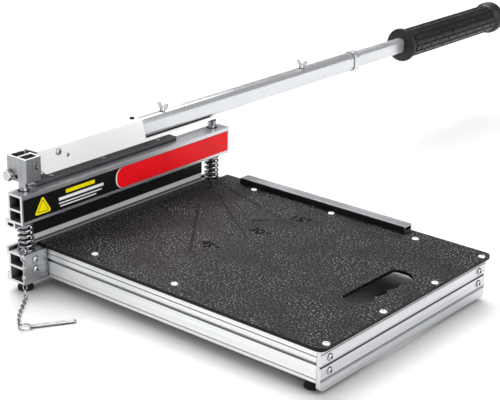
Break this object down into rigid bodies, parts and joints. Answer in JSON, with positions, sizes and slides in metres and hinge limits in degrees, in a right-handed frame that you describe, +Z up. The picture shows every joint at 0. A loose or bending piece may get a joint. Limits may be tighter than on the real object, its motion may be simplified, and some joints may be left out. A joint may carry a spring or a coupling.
{
  "type": "tile cutter",
  "caption": "Bench guillotine for flooring planks: a two-post blade beam pressed onto an anvil by a telescoping lever, in front of a low plank bed with angle grooves.",
  "frame": {"origin": "on the floor, at the centre of the outline of the whole cutter seen from above, leaving out the loose lock pin, its ring and its chain", "axes": "+Y runs along the blade from the lever's hinge to the grip, +X runs from the blade across the bed to its end rail, +Z is up"},
  "size_m": [0.476, 1.1889, 0.1847],
  "materials": {
    "satin_aluminium": "satin",
    "tube_aluminium": "satin",
    "plated_steel": "satin",
    "ground_steel": "polished",
    "black_steel": "satin black oxide",
    "bronze": "satin",
    "black_board": "pebbled matte",
    "black_nylon": "matte",
    "black_rubber": "matte",
    "label_black_film": "gloss",
    "label_red_film": "gloss"
  },
  "bodies": {
    "frame": {"lower_beam": "satin_aluminium", "anvil_pad": "black_nylon", "side_rail_near": "satin_aluminium", "side_rail_far": "satin_aluminium", "end_rail": "satin_aluminium", "work_board": "black_board", "edge_fence": "satin_aluminium", "fence_strip": "black_rubber", "board_screws": "plated_steel", "end_rail_screws": "plated_steel", "rail_screws": "plated_steel", "fence_screws": "plated_steel", "post_screws": "plated_steel", "feet": "black_rubber", "guide_post_near": "ground_steel", "guide_post_far": "ground_steel", "post_cap": "black_nylon", "spring_seats": "plated_steel", "spring_near": "ground_steel", "spring_far": "ground_steel", "end_block": "satin_aluminium", "block_plug": "plated_steel", "pivot_pin": "plated_steel", "stop_bolt": "plated_steel", "chain_anchor": "plated_steel", "lock_chain": "plated_steel", "pin_ring": "plated_steel", "lock_pin": "plated_steel"},
    "carriage": {"upper_beam": "satin_aluminium", "blade": "black_steel", "blade_screws": "plated_steel", "guide_bushes": "bronze", "press_bar": "satin_aluminium", "press_bar_screws": "plated_steel", "label_black": "label_black_film", "label_red": "label_red_film"},
    "lever": {"lever_arm": "satin_aluminium", "cam_plate": "plated_steel", "arm_bolts": "plated_steel", "roller_axle": "plated_steel", "arm_set_screw": "black_steel", "outer_tube": "tube_aluminium", "tube_collar": "tube_aluminium"},
    "rollers": {"rollers": "ground_steel"},
    "handle": {"inner_tube": "tube_aluminium", "grip": "black_rubber", "grip_cap": "black_rubber"},
    "wing_rear": {"wing_screw_rear": "plated_steel"},
    "wing_front": {"wing_screw_front": "plated_steel"}
  },
  "joints": [
    {"name": "lever_pivot", "type": "hinge", "parent": "frame", "child": "lever", "pos_m": [-0.217, -0.537, 0.1628], "axis": [1, 0, 0], "range_deg": [0, 32]},
    {"name": "blade_slide", "type": "slide", "parent": "frame", "child": "carriage", "axis": [0, 0, 1], "range_m": [0, 0.0116], "stiffness_N_per_m": 2400, "springref_m": 0.03, "deforming": ["spring_near", "spring_far"]},
    {"name": "roller_spin", "type": "hinge", "parent": "lever", "child": "rollers", "pos_m": [-0.217, -0.518, 0.139], "axis": [1, 0, 0], "continuous": true},
    {"name": "handle_telescope", "type": "slide", "parent": "lever", "child": "handle", "axis": [0, 1, 0], "range_m": [-0.095, 0.09]},
    {"name": "wing_screw_rear_turn", "type": "hinge", "parent": "lever", "child": "wing_rear", "pos_m": [-0.217, -0.29, 0.175], "axis": [0, 0, 1], "range_deg": [0, 720]},
    {"name": "wing_screw_front_turn", "type": "hinge", "parent": "lever", "child": "wing_front", "pos_m": [-0.217, 0.011, 0.175], "axis": [0, 0, 1], "range_deg": [0, 720]}
  ],
  "couplings": [
    {"joint": "blade_slide", "follows": "lever_pivot", "m_per_rad": 0.0206}
  ]
}
